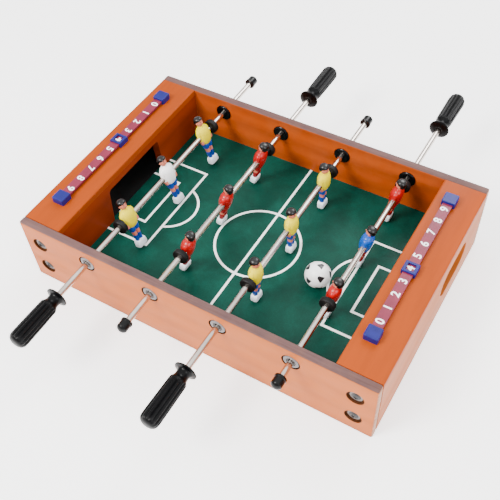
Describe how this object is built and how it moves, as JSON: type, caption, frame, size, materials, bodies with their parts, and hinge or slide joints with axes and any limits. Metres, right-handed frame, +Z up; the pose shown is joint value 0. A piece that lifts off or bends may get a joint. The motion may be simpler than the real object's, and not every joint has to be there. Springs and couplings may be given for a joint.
{
  "type": "foosball table",
  "caption": "Table-top foosball game: wooden box, green field, chrome rods with fluted black grips, painted men, sliding score counters and a ball.",
  "frame": {"origin": "middle of the front panel's lower edge, on the surface the box stands on", "axes": "X along the field from the left goal to the right goal, Y from the front panel to the back panel and along the rods, Z up"},
  "size_m": [0.508, 0.662, 0.114],
  "materials": {
    "panel_wood": "satin",
    "end_wood": "satin",
    "top_wood": "satin",
    "wall_wood": "satin",
    "block_wood": "raw",
    "field_green": "printed",
    "black_sheet": "matte",
    "screw_steel": "satin",
    "grey_plastic": "satin",
    "black_plastic": "satin",
    "handle_black": "gloss",
    "black_rubber": "matte",
    "white_shirt": "gloss",
    "yellow_shirt": "gloss",
    "red_shirt": "gloss",
    "blue_shirt": "gloss",
    "chrome_steel": "polished",
    "score_pink": "gloss",
    "score_blue": "gloss",
    "ball_white": "satin"
  },
  "bodies": {
    "table": {"back_panel": "panel_wood", "bushing_nuts": "grey_plastic", "corner_blocks": "block_wood", "corner_screws": "screw_steel", "corner_washers": "screw_steel", "front_panel": "panel_wood", "left_end_panel": "end_wood", "left_goal_tray": "black_sheet", "left_goal_wall": "wall_wood", "left_score_bar": "score_pink", "left_score_blocks": "score_blue", "left_top_board": "top_wood", "playfield": "field_green", "right_end_panel": "end_wood", "right_goal_tray": "black_sheet", "right_goal_wall": "wall_wood", "right_score_bar": "score_pink", "right_score_blocks": "score_blue", "right_top_board": "top_wood", "rod_1_bushing_back": "black_plastic", "rod_1_bushing_front": "black_plastic", "rod_2_bushing_back": "black_plastic", "rod_2_bushing_front": "black_plastic", "rod_3_bushing_back": "black_plastic", "rod_3_bushing_front": "black_plastic", "rod_4_bushing_back": "black_plastic", "rod_4_bushing_front": "black_plastic"},
    "rod_1_carriage": {"rod_1_bumpers": "black_rubber"},
    "rod_1_set": {"rod_1": "chrome_steel", "rod_1_handle": "handle_black", "rod_1_end_cap": "black_plastic", "rod_1_player_1": "yellow_shirt", "rod_1_player_2": "white_shirt", "rod_1_player_3": "yellow_shirt"},
    "rod_2_carriage": {"rod_2_bumpers": "black_rubber"},
    "rod_2_set": {"rod_2": "chrome_steel", "rod_2_handle": "handle_black", "rod_2_end_cap": "black_plastic", "rod_2_player_1": "red_shirt", "rod_2_player_2": "red_shirt", "rod_2_player_3": "red_shirt"},
    "rod_3_carriage": {"rod_3_bumpers": "black_rubber"},
    "rod_3_set": {"rod_3": "chrome_steel", "rod_3_handle": "handle_black", "rod_3_end_cap": "black_plastic", "rod_3_player_1": "yellow_shirt", "rod_3_player_2": "yellow_shirt", "rod_3_player_3": "yellow_shirt"},
    "rod_4_carriage": {"rod_4_bumpers": "black_rubber"},
    "rod_4_set": {"rod_4": "chrome_steel", "rod_4_handle": "handle_black", "rod_4_end_cap": "black_plastic", "rod_4_player_1": "red_shirt", "rod_4_player_2": "blue_shirt", "rod_4_player_3": "red_shirt"},
    "left_counter": {"left_score_slider": "score_blue"},
    "right_counter": {"right_score_slider": "score_blue"},
    "loose_ball": {"ball": "ball_white"}
  },
  "joints": [
    {"name": "rod_1_slide", "type": "slide", "parent": "table", "child": "rod_1_carriage", "axis": [0, 1, 0], "range_m": [-0.0519, 0.0271]},
    {"name": "rod_1_turn", "type": "hinge", "parent": "rod_1_carriage", "child": "rod_1_set", "pos_m": [-0.147, 0.164, 0.082], "axis": [0, 1, 0], "continuous": true},
    {"name": "rod_2_slide", "type": "slide", "parent": "table", "child": "rod_2_carriage", "axis": [0, 1, 0], "range_m": [-0.0485, 0.0305]},
    {"name": "rod_2_turn", "type": "hinge", "parent": "rod_2_carriage", "child": "rod_2_set", "pos_m": [-0.049, 0.164, 0.082], "axis": [0, 1, 0], "continuous": true},
    {"name": "rod_3_slide", "type": "slide", "parent": "table", "child": "rod_3_carriage", "axis": [0, 1, 0], "range_m": [-0.051, 0.028]},
    {"name": "rod_3_turn", "type": "hinge", "parent": "rod_3_carriage", "child": "rod_3_set", "pos_m": [0.049, 0.164, 0.082], "axis": [0, 1, 0], "continuous": true},
    {"name": "rod_4_slide", "type": "slide", "parent": "table", "child": "rod_4_carriage", "axis": [0, 1, 0], "range_m": [-0.072, 0.007]},
    {"name": "rod_4_turn", "type": "hinge", "parent": "rod_4_carriage", "child": "rod_4_set", "pos_m": [0.147, 0.164, 0.082], "axis": [0, 1, 0], "continuous": true},
    {"name": "left_score_count", "type": "slide", "parent": "table", "child": "left_counter", "axis": [0, 1, 0], "range_m": [-0.107, 0.0856]},
    {"name": "right_score_count", "type": "slide", "parent": "table", "child": "right_counter", "axis": [0, 1, 0], "range_m": [-0.0856, 0.107]},
    {"name": "ball_roll", "type": "slide", "parent": "table", "child": "loose_ball", "axis": [0, 1, 0], "range_m": [-0.07, 0.022]}
  ]
}
